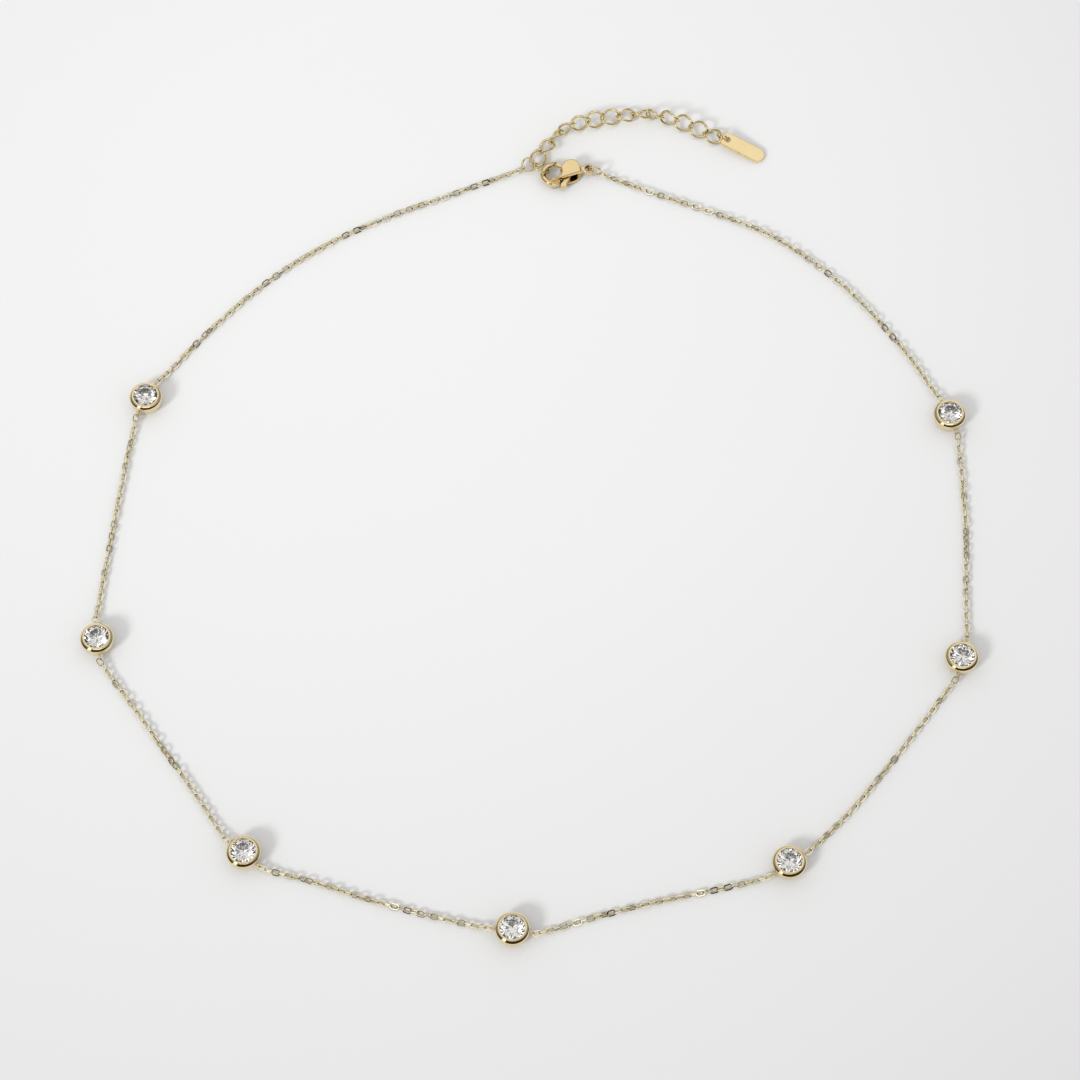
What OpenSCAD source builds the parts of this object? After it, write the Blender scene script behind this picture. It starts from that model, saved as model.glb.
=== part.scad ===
// Station necklace laid out as a closed loop on a flat surface.
// Seven round stones sit in round settings along a fine cable chain.
// A lobster clasp holds a joining ring, which carries the chain's end ring
// and a short extender chain with a small flat tag.
// Millimetres, +Z up, the surface at z = 0, the loop's middle near the origin.

/* [Settings] */
// Outer diameter of a round setting
setting_d = 5.0; // [4.8:0.1:5.2]
// Height of a setting's wall
setting_h = 2.6; // [2.5:0.1:2.8]
// Diameter of the hole in a setting's back
back_hole_d = 2.4; // [2.0:0.1:2.6]
// Wire thickness of the small eyes soldered to a setting
eye_wire = 0.28; // [0.24:0.02:0.32]

/* [Stones] */
// Girdle diameter of a stone
stone_d = 3.8; // [3.6:0.05:3.8]
// Diameter across the corners of a stone's table
table_d = 2.14; // [2.0:0.02:2.4]

/* [Chain] */
// Outer width of the fine chain
chain_w = 1.0; // [0.9:0.05:1.1]

/* [Rings] */
// Outer diameter of the ring at the chain's end
end_ring_d = 2.5; // [2.4:0.05:2.5]
// Outer diameter of the ring between clasp, end ring and extender
joining_ring_d = 3.5; // [3.45:0.05:3.55]
// Outer diameter of the ring in the clasp's eye
clasp_ring_d = 2.4; // [2.35:0.05:2.45]
// Outer diameter of the ring that carries the tag
tag_ring_d = 2.3; // [2.2:0.05:2.4]
// Wire thickness of the small rings
ring_wire = 0.33; // [0.28:0.01:0.34]

/* [Extender] */
// Outer length of an extender link
link_l = 3.5; // [3.45:0.01:3.55]
// Outer width of an extender link
link_w = 2.9; // [2.8:0.05:2.9]
// Wire thickness of an extender link
link_wire = 0.42; // [0.36:0.01:0.42]

/* [Tag] */
// Length of the tag
tag_l = 7.3; // [6.5:0.1:7.5]
// Width of the tag
tag_w = 2.5; // [2.2:0.1:2.8]
// Thickness of the tag
tag_t = 0.5; // [0.4:0.05:0.55]

/* [Clasp] */
// Total thickness of the clasp's head
clasp_t = 2.2; // [2.1:0.05:2.3]
// Thickness of the clasp's hook bar
hook_bar = 0.94; // [0.85:0.01:0.94]
// Radius of the pin that the lever turns on
pin_r = 0.35; // [0.30:0.01:0.35]
// How far the lever is opened, in degrees
lever_open = 0; // [0:1:25]

/* [Hidden] */

gold = [0.86, 0.72, 0.45];
pale_gold = [0.90, 0.79, 0.55];
clear_white = [0.93, 0.95, 0.97];
round_fn = 64;
wire_fn = 32;
overlap = 0.1;

// Rows of the station table: x, y, angle of the eye towards the station before
STATION_X = 0;
STATION_Y = 1;
STATION_EYE = 2;
STATIONS = [
    [-59.0, 17.0, 65],
    [-64.0, -23.5, 100],
    [-41.0, -57.0, 141],
    [-2.5, -68.5, 173],
    [37.0, -58.5, 214],
    [63.5, -26.5, 252],
    [64.0, 14.0, 290],
];

// Wall of a setting: a bulged outside with a bevelled shoulder, a cone seat and a thin lip
setting_r = setting_d / 2;
bulge_r = 3.6;
widest_z = setting_h - 0.64;
corner_r = 0.5;
bevel_r = 1.3;
bevel_start = 43;
bevel_inset = 0.005;
lip_outer_r = 2.13;
corner_at = [setting_r - corner_r, widest_z];
bevel_at = corner_at - (bevel_r - corner_r + bevel_inset) * direction(bevel_start);
back_hole_r = back_hole_d / 2;
groove_r = 1.95;
lip_r = 1.80;
lip_top_r = 1.76;

// Brilliant cut: heights above the surface, radii from the stone's axis
stone_r = stone_d / 2;
table_r = table_d / 2;
crown_angle = 33;
pavilion_angle = 40.8;
girdle_high_z = setting_h - 0.25;
girdle_low_z = girdle_high_z - 0.05;
table_z = girdle_high_z + (stone_r - table_r) * tan(crown_angle);
culet_z = girdle_low_z - stone_r * tan(pavilion_angle);
star_r = (table_r + stone_r) / 2 - 0.03;
lower_half_r = 0.43;
mains = 8;

// Heights inside a setting's wall, worked out from the stone that it holds
groove_low_z = girdle_low_z - 0.03;
groove_high_z = girdle_high_z + 0.04;
lip_low_z = girdle_high_z + 0.11;
seat_z = groove_low_z - (groove_r - back_hole_r) * tan(pavilion_angle);

// Small upright eye on each side of a setting
eye_h = 1.1;
eye_l = 1.2;
eye_z = 0.9;
eye_reach = 0.75;
eye_far_r = setting_r + eye_reach;

// Plain tube along each run of the fine chain, as wide as the chain's links
tube_sides = 8;
tube_r = chain_w / 2;
tube_z = 0.55;
tube_steps = 2;
tube_gap = 0.15;

// Hand-chosen points of the eight runs between the ends that meet settings and rings
RUNS = [
    [[-13.5, 54], [-23, 50], [-31.5, 45.5], [-40.5, 39], [-49.5, 30]],
    [[-61.5, 7], [-62.5, -1], [-63.5, -10]],
    [[-58.5, -33.5], [-53.5, -40.5], [-48.5, -47.5]],
    [[-31, -61], [-23.5, -63.5], [-14.5, -66]],
    [[8.5, -66.5], [16, -64.5], [25, -62.5]],
    [[45.5, -51], [51, -44.5], [56.5, -37.5]],
    [[65, -15], [65.5, -6], [65.5, 3]],
    [[57.5, 26.5], [49, 37.5], [39, 46], [30, 50.5], [21, 54]],
];
first_run_start = [-1.75, 59.05];
last_run_end = [11.45, 57.9];

// Places of the rings: centre, direction held level, lean of the ring's plane
end_ring_at = [-0.47, 59.44, 1.21];
end_ring_turn = -46;
end_ring_lean = 35;
joining_ring_at = [1.46, 58.76, 1.3];
joining_ring_turn = 144;
joining_ring_lean = 45;
joining_wire = 0.38;

// Route of the extender chain, whose links turn steadily about it
EXTENDER_ROUTE = [
    [1.1, 60.8], [2.3, 62.8], [5.5, 66.2], [8.5, 67.5], [12, 68.5],
    [15.5, 69], [18.5, 69], [22, 68.2], [26, 66.7], [29, 65.3],
];
link_count = 14;
link_turn = -28;
link_twist = 40;
link_nestle = 0.05;
first_link_lift = 9;
link_steps = 16;
link_sides = 6;
extender_steps = 12;
heading_reach = 0.6;

// Tag lying from its ring down to the surface
tag_hole_r = 0.45;
tag_hole_edge = 0.85;
tag_hole_at = [31.35, 64.1];
tag_turn = -26.6;
tag_tip_z = 0.05;
tag_hole_z = 0.95;
tag_corner_r = 0.5;
tag_ring_at = [30.6, 64.7, 1.2];
tag_ring_turn = -36;
tag_ring_lean = 95;

// Clasp, in its own frame: the head's middle at the origin, the hook towards -x
clasp_at = [6.2, 58.2, 0];
clasp_turn = 6;
clasp_mid_z = clasp_t / 2;
base_head_at = [0, 0];
base_head_r = 1.7;
base_tail_at = [-2.8, -1.85];
base_tail_r = 0.42;
plate_head_at = [0.2, 0.4];
plate_head_r = 1.35;
plate_corner_at = [1.35, -0.55];
plate_corner_r = 0.25;
plate_tail_at = [-3.2, -1.8];
plate_tail_r = 0.15;
hook_at = [-2.6, -0.15];
hook_r = 1.75;
hook_start = 70;
hook_sweep = 226;
hook_inner_r = hook_r - hook_bar / 2;
tip_cut_at = [-2.7, 1.2];
tip_cut_angle = 41;
tip_cut_size = [2.2, 0.8, 4];
tip_cut_back = 0.6;
pin_at = [0, 0.2];
pocket_low_z = 0.65;
pocket_high_z = clasp_t - 0.65;
clasp_eye_at = [2.9, 0.15];
clasp_eye_r = 0.9;
clasp_eye_hole_r = 0.5;
clasp_eye_low_z = 0.65;
clasp_eye_high_z = 1.55;
neck_w = 0.9;
neck_start = 1.2;
clasp_ring_turn = -15;
clasp_ring_shift = 0.05;

// Lever: bore on the pin, gate arm along the hook's circle, trigger with a tab
lever_gap = 0.05;
lever_low_z = pocket_low_z + lever_gap;
lever_t = pocket_high_z - pocket_low_z - 2 * lever_gap;
lever_bore_r = pin_r + lever_gap;
hub_r = 0.75;
hub_gap = 0.1;
trigger_root_w = 1.35;
gate_w = 0.56;
gate_start = 5;
gate_sweep = 80;
gate_tip_gap = 0.08;
trigger_angle = 244;
trigger_reach = 3.0;
trigger_w = 0.55;
tab_r = 0.5;

// One value of a smooth curve through p1 and p2, with t from 0 to 1
function curve_at(p0, p1, p2, p3, t) =
    0.5 * (2 * p1 + (p2 - p0) * t + (2 * p0 - 5 * p1 + 4 * p2 - p3) * t * t
        + (3 * p1 - p0 - 3 * p2 + p3) * t * t * t);

// Smooth curve through all the points of a route, with the given steps per span
function smooth_route(pts, steps) =
    let (
        last = len(pts) - 1,
        before = 2 * pts[0] - pts[1],
        after = 2 * pts[last] - pts[last - 1],
        ext = concat([before], pts, [after])
    )
    [
        for (i = [0 : last - 1])
            for (j = [0 : steps - 1])
                curve_at(ext[i], ext[i + 1], ext[i + 2], ext[i + 3], j / steps),
        pts[last],
    ];

// Length from the start of a route to each of its points
function lengths(pts, i = 1, acc = [0]) =
    i == len(pts) ? acc : lengths(pts, i + 1, concat(acc, [acc[i - 1] + norm(pts[i] - pts[i - 1])]));

function unit(v) = v / norm(v);

function direction(angle) = [cos(angle), sin(angle)];

// Direction of a route at one of its points
function heading(pts, i) =
    unit(pts[min(i + 1, len(pts) - 1)] - pts[max(i - 1, 0)]);

// Middle of a station, and the point where a run starts on one of its eyes
function station_at(i) = [STATIONS[i][STATION_X], STATIONS[i][STATION_Y]];

function eye_angle(i, side) = STATIONS[i][STATION_EYE] + (side > 0 ? 180 : 0);

function run_end(i, side) =
    let (spot = station_at(i) + (eye_far_r + tube_gap) * direction(eye_angle(i, side)))
    [spot[0], spot[1], eye_z];

function ring_end(spot) = [spot[0], spot[1], eye_z];

// All the points of a run, ends included, with their heights
function run_points(i) =
    concat(
        [i == 0 ? ring_end(first_run_start) : run_end(i - 1, 1)],
        [for (p = RUNS[i]) [p[0], p[1], tube_z]],
        [i == len(STATIONS) ? ring_end(last_run_end) : run_end(i, -1)]
    );

// Closed sweep of a round section around a loop of centre points
module loop_sweep(path, r, sides) {
    count = len(path);
    rings = [
        for (i = [0 : count - 1])
            let (
                along = unit(path[(i + 1) % count] - path[(i + count - 1) % count]),
                out = unit(path[i] - (path[i] * along) * along),
                side = cross(along, out)
            )
            for (k = [0 : sides - 1])
                let (angle = 360 * k / sides)
                path[i] + r * (cos(angle) * out + sin(angle) * side)
    ];
    faces = [
        for (i = [0 : count - 1])
            for (k = [0 : sides - 1])
                let (
                    i2 = (i + 1) % count,
                    k2 = (k + 1) % sides
                )
                [i * sides + k, i2 * sides + k, i2 * sides + k2, i * sides + k2]
    ];
    polyhedron(points = rings, faces = faces, convexity = 6);
}

// Open sweep of a round section along a route that runs nearly level
module tube_sweep(path, r, sides) {
    count = len(path);
    rings = [
        for (i = [0 : count - 1])
            let (
                along = heading(path, i),
                side = unit(cross([0, 0, 1], along)),
                up = cross(along, side)
            )
            for (k = [0 : sides - 1])
                let (angle = 360 * (k + 0.5) / sides)
                path[i] + r * (cos(angle) * side + sin(angle) * up)
    ];
    walls = [
        for (i = [0 : count - 2])
            for (k = [0 : sides - 1])
                let (k2 = (k + 1) % sides)
                [i * sides + k, (i + 1) * sides + k, (i + 1) * sides + k2, i * sides + k2]
    ];
    first_cap = [for (k = [0 : sides - 1]) k];
    last_cap = [for (k = [sides - 1 : -1 : 0]) (count - 1) * sides + k];
    polyhedron(points = rings, faces = concat([first_cap], walls, [last_cap]), convexity = 6);
}

// Round wire ring: outer diameter, wire thickness
module wire_ring(d, wire) {
    rotate_extrude($fn = round_fn)
        translate([(d - wire) / 2, 0])
            circle(d = wire, $fn = wire_fn);
}

// Ring placed by its centre, its level direction and its lean
module placed_ring(at, turn, lean, d, wire) {
    translate(at)
        rotate([lean, 0, turn])
            wire_ring(d, wire);
}

// Half of a round wire ring around its own middle, open towards -x
module half_ring(r, wire) {
    rotate([0, 0, -90])
        rotate_extrude(angle = 180, $fn = round_fn)
            translate([r, 0])
                circle(d = wire, $fn = wire_fn);
}

// Oval eye standing upright, reaching out along +x from a setting's wall
module setting_eye() {
    bend_r = (eye_h - eye_wire) / 2;
    straight = eye_l - eye_h;
    middle = eye_far_r - eye_l / 2;
    translate([middle, 0, eye_z])
        rotate([90, 0, 0]) {
            translate([straight / 2, 0, 0])
                half_ring(bend_r, eye_wire);
            for (side = [-1, 1])
                translate([-eye_l / 2, side * bend_r, 0])
                    rotate([0, 90, 0])
                        cylinder(d = eye_wire, h = eye_l / 2 + straight / 2, $fn = wire_fn);
        }
}

// Outer outline of a setting's wall, from its axis outwards: bulge, shoulder, lip
module wall_outline() {
    reach = 2 * bevel_r;
    shoulder_h = setting_h - widest_z;
    intersection() {
        translate([setting_r - bulge_r, widest_z])
            circle(r = bulge_r, $fn = round_fn);
        square([setting_r + overlap, widest_z]);
    }
    intersection() {
        translate(bevel_at)
            circle(r = bevel_r, $fn = round_fn);
        union() {
            translate(corner_at)
                circle(r = corner_r, $fn = round_fn);
            translate(bevel_at)
                polygon([[0, 0], reach * direction(bevel_start), [0, reach]]);
        }
        translate([0, widest_z])
            square([setting_r + overlap, shoulder_h]);
    }
    translate([0, widest_z])
        square([lip_outer_r, shoulder_h]);
}

// Round setting with an open back and two eyes
module setting(i) {
    color(gold)
        translate([STATIONS[i][STATION_X], STATIONS[i][STATION_Y], 0]) {
            rotate_extrude($fn = round_fn)
                difference() {
                    wall_outline();
                    polygon([
                        [-overlap, -overlap], [back_hole_r, -overlap], [back_hole_r, seat_z],
                        [groove_r, groove_low_z], [groove_r, groove_high_z], [lip_r, lip_low_z],
                        [lip_top_r, setting_h + overlap], [-overlap, setting_h + overlap],
                    ]);
                }
            for (side = [-1, 1])
                rotate([0, 0, eye_angle(i, side)])
                    setting_eye();
        }
}

// Round brilliant: table, stars, kites and halves above, mains and halves below
module brilliant() {
    step = 360 / mains;
    half = step / 2;
    crown_slope = (table_z - girdle_high_z) / (stone_r - table_r);
    star_z = table_z - (star_r * cos(half) - table_r) * crown_slope;
    lower_z = culet_z + lower_half_r * cos(half) * (girdle_low_z - culet_z) / stone_r;
    table_ring = [for (i = [0 : mains - 1]) concat(table_r * direction(step * i), table_z)];
    star_ring = [for (i = [0 : mains - 1]) concat(star_r * direction(step * i + half), star_z)];
    high_ring = [for (i = [0 : 2 * mains - 1]) concat(stone_r * direction(half * i), girdle_high_z)];
    low_ring = [for (i = [0 : 2 * mains - 1]) concat(stone_r * direction(half * i), girdle_low_z)];
    lower_ring = [for (i = [0 : mains - 1]) concat(lower_half_r * direction(step * i + half), lower_z)];
    culet = [[0, 0, culet_z]];
    star = mains;
    high = 2 * mains;
    low = 4 * mains;
    lower = 6 * mains;
    tip = 7 * mains;
    crown = [
        for (i = [0 : mains - 1])
            let (
                i2 = (i + 1) % mains,
                before = (i + mains - 1) % mains
            )
            each [
                [i, i2, star + i],
                [i, star + i, high + 2 * i, star + before],
                [star + i, high + 2 * i + 1, high + 2 * i],
                [star + i, high + 2 * i2, high + 2 * i + 1],
            ]
    ];
    girdle = [
        for (k = [0 : 2 * mains - 1])
            let (k2 = (k + 1) % (2 * mains))
            [high + k, high + k2, low + k2, low + k]
    ];
    pavilion = [
        for (i = [0 : mains - 1])
            let (
                i2 = (i + 1) % mains,
                before = (i + mains - 1) % mains
            )
            each [
                [tip, lower + before, low + 2 * i, lower + i],
                [lower + i, low + 2 * i, low + 2 * i + 1],
                [lower + i, low + 2 * i + 1, low + 2 * i2],
            ]
    ];
    table_face = [for (i = [0 : mains - 1]) mains - 1 - i];
    polyhedron(
        points = concat(table_ring, star_ring, high_ring, low_ring, lower_ring, culet),
        faces = concat([table_face], crown, girdle, pavilion),
        convexity = 2
    );
}

module stone(i) {
    color(clear_white)
        translate([STATIONS[i][STATION_X], STATIONS[i][STATION_Y], 0])
            rotate([0, 0, STATIONS[i][STATION_EYE]])
                brilliant();
}

module chain(i) {
    color(pale_gold)
        tube_sweep(smooth_route(run_points(i), tube_steps), tube_r, tube_sides);
}

module end_ring() {
    color(gold)
        placed_ring(end_ring_at, end_ring_turn, end_ring_lean, end_ring_d, ring_wire);
}

module joining_ring() {
    color(gold)
        placed_ring(joining_ring_at, joining_ring_turn, joining_ring_lean, joining_ring_d, joining_wire);
}

// Centre line of one twisted link, lying along x, rolled, with its far end lifted
function link_path(roll, lift) =
    let (
        half_l = (link_l - link_wire) / 2,
        half_w = (link_w - link_wire) / 2
    )
    [
        for (k = [0 : link_steps - 1])
            let (
                t = 360 * k / link_steps,
                twist = link_twist * cos(t) + roll,
                x = half_l * cos(t),
                y = half_w * sin(t) * cos(twist),
                z = half_w * sin(t) * sin(twist)
            )
            [x * cos(lift) - z * sin(lift), y, x * sin(lift) + z * cos(lift)]
    ];

// Twisted links laid along the route, on the surface or held up by their neighbours
module extender() {
    route = smooth_route(EXTENDER_ROUTE, extender_steps);
    reach = lengths(route);
    last = link_count - 1;
    total = reach[len(reach) - 1];
    x_table = [for (i = [0 : len(route) - 1]) [reach[i], route[i][0]]];
    y_table = [for (i = [0 : len(route) - 1]) [reach[i], route[i][1]]];
    paths = [for (i = [0 : last]) link_path(link_turn * i, i == 0 ? first_link_lift : 0)];
    rest_z = [for (path = paths) link_wire / 2 - min([for (p = path) p[2]])];
    color(gold)
        for (i = [0 : last]) {
            along = total * i / last;
            ahead = min(along + heading_reach, total);
            behind = max(along - heading_reach, 0);
            turn = atan2(
                lookup(ahead, y_table) - lookup(behind, y_table),
                lookup(ahead, x_table) - lookup(behind, x_table)
            );
            held_z = (rest_z[max(i - 1, 0)] + rest_z[min(i + 1, last)]) / 2 - link_nestle;
            z = i == 0 || i == last ? rest_z[i] : max(rest_z[i], held_z);
            translate([lookup(along, x_table), lookup(along, y_table), z])
                rotate([0, 0, turn])
                    loop_sweep(paths[i], link_wire / 2, link_sides);
        }
}

module tag_ring() {
    color(gold)
        placed_ring(tag_ring_at, tag_ring_turn, tag_ring_lean, tag_ring_d, ring_wire);
}

// Flat tag with a round far end, its near end raised on the ring
module tag() {
    tip_run = tag_l - tag_hole_edge;
    drop = asin((tag_hole_z - tag_tip_z) / tip_run);
    round_at = tip_run - tag_w / 2;
    near = -tag_hole_edge;
    color(gold)
        translate([tag_hole_at[0], tag_hole_at[1], tag_hole_z])
            rotate([0, drop, tag_turn])
                linear_extrude(tag_t)
                    difference() {
                        union() {
                            translate([round_at, 0])
                                circle(d = tag_w, $fn = round_fn);
                            translate([near, tag_corner_r - tag_w / 2])
                                square([round_at - near, tag_w - 2 * tag_corner_r]);
                            translate([near + tag_corner_r, -tag_w / 2])
                                square([round_at - near - tag_corner_r, tag_w]);
                            for (side = [-1, 1])
                                translate([near + tag_corner_r, side * (tag_w / 2 - tag_corner_r)])
                                    circle(r = tag_corner_r, $fn = round_fn);
                        }
                        circle(r = tag_hole_r, $fn = round_fn);
                    }
}

module on_clasp() {
    translate(clasp_at)
        rotate([0, 0, clasp_turn])
            children();
}

// Drop shape: a head circle and a small tail circle, joined along their tangents
module drop_outline(head_at, head_r, tail_at, tail_r) {
    line = tail_at - head_at;
    aim = atan2(line[1], line[0]);
    spread = acos((head_r - tail_r) / norm(line));
    translate(head_at)
        circle(r = head_r, $fn = round_fn);
    translate(tail_at)
        circle(r = tail_r, $fn = wire_fn);
    polygon([
        head_at + head_r * direction(aim + spread),
        tail_at + tail_r * direction(aim + spread),
        tail_at + tail_r * direction(aim - spread),
        head_at + head_r * direction(aim - spread),
    ]);
}

// Top plate: its head, its lower corner and its tail, joined along their tangents
module plate_outline() {
    drop_outline(plate_head_at, plate_head_r, plate_corner_at, plate_corner_r);
    drop_outline(plate_head_at, plate_head_r, plate_tail_at, plate_tail_r);
    drop_outline(plate_corner_at, plate_corner_r, plate_tail_at, plate_tail_r);
    polygon([plate_head_at, plate_corner_at, plate_tail_at]);
}

// Round hole inside the hook, which both plates leave open
module hook_opening() {
    translate(hook_at)
        circle(r = hook_inner_r, $fn = round_fn);
}

// Space between the two plates that the lever swings in
module pocket_outline() {
    translate(pin_at)
        circle(r = hub_r + hub_gap, $fn = round_fn);
    polygon([
        [0.4, 0.9], [-0.5, 1.18], [-1.2, 1.7], [-2.6, 1.9], [-2.6, -0.9], [-1.62, -0.98],
        [-1.8, -1.72], [-1.8, -2.6], [2.0, -2.6], [2.0, -0.45], [1.1, -0.35], [0.8, 0.2],
    ]);
}

// Hook, head with two plates, neck and eye, and the pin across the pocket
module clasp_body() {
    color(gold)
        on_clasp() {
            difference() {
                translate([hook_at[0], hook_at[1], clasp_mid_z])
                    rotate([0, 0, hook_start])
                        rotate_extrude(angle = hook_sweep, $fn = round_fn)
                            translate([hook_r, 0])
                                circle(d = hook_bar, $fn = wire_fn);
                translate([tip_cut_at[0], tip_cut_at[1], clasp_mid_z])
                    rotate([0, 0, tip_cut_angle])
                        translate([-tip_cut_back, -tip_cut_size[1], -tip_cut_size[2] / 2])
                            cube(tip_cut_size);
            }
            difference() {
                linear_extrude(pocket_high_z)
                    difference() {
                        drop_outline(base_head_at, base_head_r, base_tail_at, base_tail_r);
                        hook_opening();
                    }
                translate([0, 0, pocket_low_z])
                    linear_extrude(clasp_t - pocket_low_z)
                        pocket_outline();
            }
            translate([0, 0, pocket_high_z])
                linear_extrude(clasp_t - pocket_high_z)
                    difference() {
                        plate_outline();
                        hook_opening();
                    }
            translate([pin_at[0], pin_at[1], pocket_low_z - overlap])
                cylinder(r = pin_r, h = pocket_high_z - pocket_low_z + 2 * overlap, $fn = round_fn);
            difference() {
                translate([0, 0, clasp_eye_low_z])
                    linear_extrude(clasp_eye_high_z - clasp_eye_low_z) {
                        translate(clasp_eye_at)
                            circle(r = clasp_eye_r, $fn = round_fn);
                        translate([neck_start, clasp_eye_at[1] - neck_w / 2])
                            square([clasp_eye_at[0] - neck_start, neck_w]);
                    }
                translate([clasp_eye_at[0], clasp_eye_at[1], 0])
                    cylinder(r = clasp_eye_hole_r, h = clasp_t, $fn = round_fn);
            }
        }
}

// Upright ring through the clasp's eye
module clasp_ring() {
    mid_r = (clasp_ring_d - ring_wire) / 2;
    color(gold)
        on_clasp()
            translate([clasp_eye_at[0], clasp_eye_at[1], clasp_ring_d / 2])
                rotate([0, 0, clasp_ring_turn - clasp_turn])
                    translate([mid_r + clasp_ring_shift, 0, 0])
                        rotate([90, 0, 0])
                            wire_ring(clasp_ring_d, ring_wire);
}

// Gate arm along the hook's circle, ending under the hook's slanted tip
module gate_outline() {
    inner = hook_r - gate_w / 2;
    outer = hook_r + gate_w / 2;
    past = 2 * outer;
    intersection() {
        translate(hook_at)
            difference() {
                circle(r = outer, $fn = round_fn);
                circle(r = inner, $fn = round_fn);
            }
        translate(hook_at)
            polygon([
                [0, 0], past * direction(gate_start), past * direction(gate_start + gate_sweep / 2),
                past * direction(gate_start + gate_sweep),
            ]);
        translate(tip_cut_at)
            rotate(tip_cut_angle)
                translate([-past, -2 * past - gate_tip_gap])
                    square(2 * past);
    }
}

// Lever with its bore: hub, gate arm, trigger arm and thumb tab
module clasp_lever() {
    aim = direction(trigger_angle);
    across = direction(trigger_angle + 90);
    root_half = trigger_root_w / 2;
    color(pale_gold)
        on_clasp()
            translate([pin_at[0], pin_at[1], lever_low_z])
                rotate([0, 0, lever_open])
                    difference() {
                        union() {
                            cylinder(r = hub_r, h = lever_t, $fn = round_fn);
                            linear_extrude(lever_t)
                                translate(-pin_at)
                                    gate_outline();
                            linear_extrude(lever_t)
                                polygon([
                                    root_half * across,
                                    trigger_reach * aim + trigger_w / 2 * across,
                                    trigger_reach * aim - trigger_w / 2 * across,
                                    -root_half * across,
                                ]);
                            translate(trigger_reach * concat(aim, 0))
                                cylinder(r = tab_r, h = lever_t, $fn = round_fn);
                        }
                        translate([0, 0, -overlap])
                            cylinder(r = lever_bore_r, h = lever_t + 2 * overlap, $fn = round_fn);
                    }
}

setting(0);  // setting_1
setting(1);  // setting_2
setting(2);  // setting_3
setting(3);  // setting_4
setting(4);  // setting_5
setting(5);  // setting_6
setting(6);  // setting_7
stone(0);  // stone_1
stone(1);  // stone_2
stone(2);  // stone_3
stone(3);  // stone_4
stone(4);  // stone_5
stone(5);  // stone_6
stone(6);  // stone_7
chain(0);  // chain_1
chain(1);  // chain_2
chain(2);  // chain_3
chain(3);  // chain_4
chain(4);  // chain_5
chain(5);  // chain_6
chain(6);  // chain_7
chain(7);  // chain_8
end_ring();
joining_ring();
extender();
tag_ring();
tag();
clasp_body();
clasp_ring();
clasp_lever();
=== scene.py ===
"""Looks of a station necklace: round stones in round settings along a fine cable chain."""
import math

import bpy
import numpy as np
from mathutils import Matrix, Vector


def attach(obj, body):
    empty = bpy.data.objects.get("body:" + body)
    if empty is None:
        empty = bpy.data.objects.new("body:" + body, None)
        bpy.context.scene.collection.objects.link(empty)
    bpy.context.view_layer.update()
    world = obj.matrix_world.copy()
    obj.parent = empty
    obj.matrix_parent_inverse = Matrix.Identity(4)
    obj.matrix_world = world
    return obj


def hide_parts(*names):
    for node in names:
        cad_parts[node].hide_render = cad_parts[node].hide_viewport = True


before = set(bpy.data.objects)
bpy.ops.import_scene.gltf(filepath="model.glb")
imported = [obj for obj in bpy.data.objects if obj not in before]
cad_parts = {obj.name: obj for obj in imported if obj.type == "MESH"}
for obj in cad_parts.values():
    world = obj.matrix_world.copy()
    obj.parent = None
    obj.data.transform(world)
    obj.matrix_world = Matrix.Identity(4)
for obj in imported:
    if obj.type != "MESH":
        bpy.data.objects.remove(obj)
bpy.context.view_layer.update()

# Lengths of the pieces are in millimetres, and meshes are scaled to metres when they are made
MM = 0.001
NECKLACE = "necklace"
LEVER = "lever"

# Rows of the station table: x, y, angle of the eye towards the station before
STATIONS = [
    (-59.0, 17.0, 65),
    (-64.0, -23.5, 100),
    (-41.0, -57.0, 141),
    (-2.5, -68.5, 173),
    (37.0, -58.5, 214),
    (63.5, -26.5, 252),
    (64.0, 14.0, 290),
]

# Points of the eight chain runs between the pieces that they hang on
RUNS = [
    [(-13.5, 54), (-23, 50), (-31.5, 45.5), (-40.5, 39), (-49.5, 30)],
    [(-61.5, 7), (-62.5, -1), (-63.5, -10)],
    [(-58.5, -33.5), (-53.5, -40.5), (-48.5, -47.5)],
    [(-31, -61), (-23.5, -63.5), (-14.5, -66)],
    [(8.5, -66.5), (16, -64.5), (25, -62.5)],
    [(45.5, -51), (51, -44.5), (56.5, -37.5)],
    [(65, -15), (65.5, -6), (65.5, 3)],
    [(57.5, 26.5), (49, 37.5), (39, 46), (30, 50.5), (21, 54)],
]

# Route of the extender chain
EXTENDER_ROUTE = [
    (1.1, 60.8), (2.3, 62.8), (5.5, 66.2), (8.5, 67.5), (12, 68.5),
    (15.5, 69), (18.5, 69), (22, 68.2), (26, 66.7), (29, 65.3),
]


def unit(v):
    return v / np.linalg.norm(v, axis=-1, keepdims=True)


def direction(degrees):
    a = math.radians(degrees)
    return np.array([math.cos(a), math.sin(a)])


def spin(degrees, axis):
    """Rotation matrix about one of the axes, 0 for x, 1 for y and 2 for z."""
    a = math.radians(degrees)
    c, s = math.cos(a), math.sin(a)
    u, v = (axis + 1) % 3, (axis + 2) % 3
    m = np.eye(3)
    m[u, u] = m[v, v] = c
    m[u, v], m[v, u] = -s, s
    return m


def smooth_curve(points, steps):
    """Smooth curve through all the points, with the given steps per span."""
    pts = np.asarray(points, float)
    ends = np.vstack([2 * pts[0] - pts[1], pts, 2 * pts[-1] - pts[-2]])
    t = (np.arange(steps) / steps)[:, None]
    spans = []
    for i in range(len(pts) - 1):
        p0, p1, p2, p3 = ends[i : i + 4]
        bend = 2 * p0 - 5 * p1 + 4 * p2 - p3
        swing = 3 * p1 - p0 - 3 * p2 + p3
        spans.append(0.5 * (2 * p1 + (p2 - p0) * t + bend * t**2 + swing * t**3))
    return np.vstack([*spans, pts[-1:]])


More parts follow.
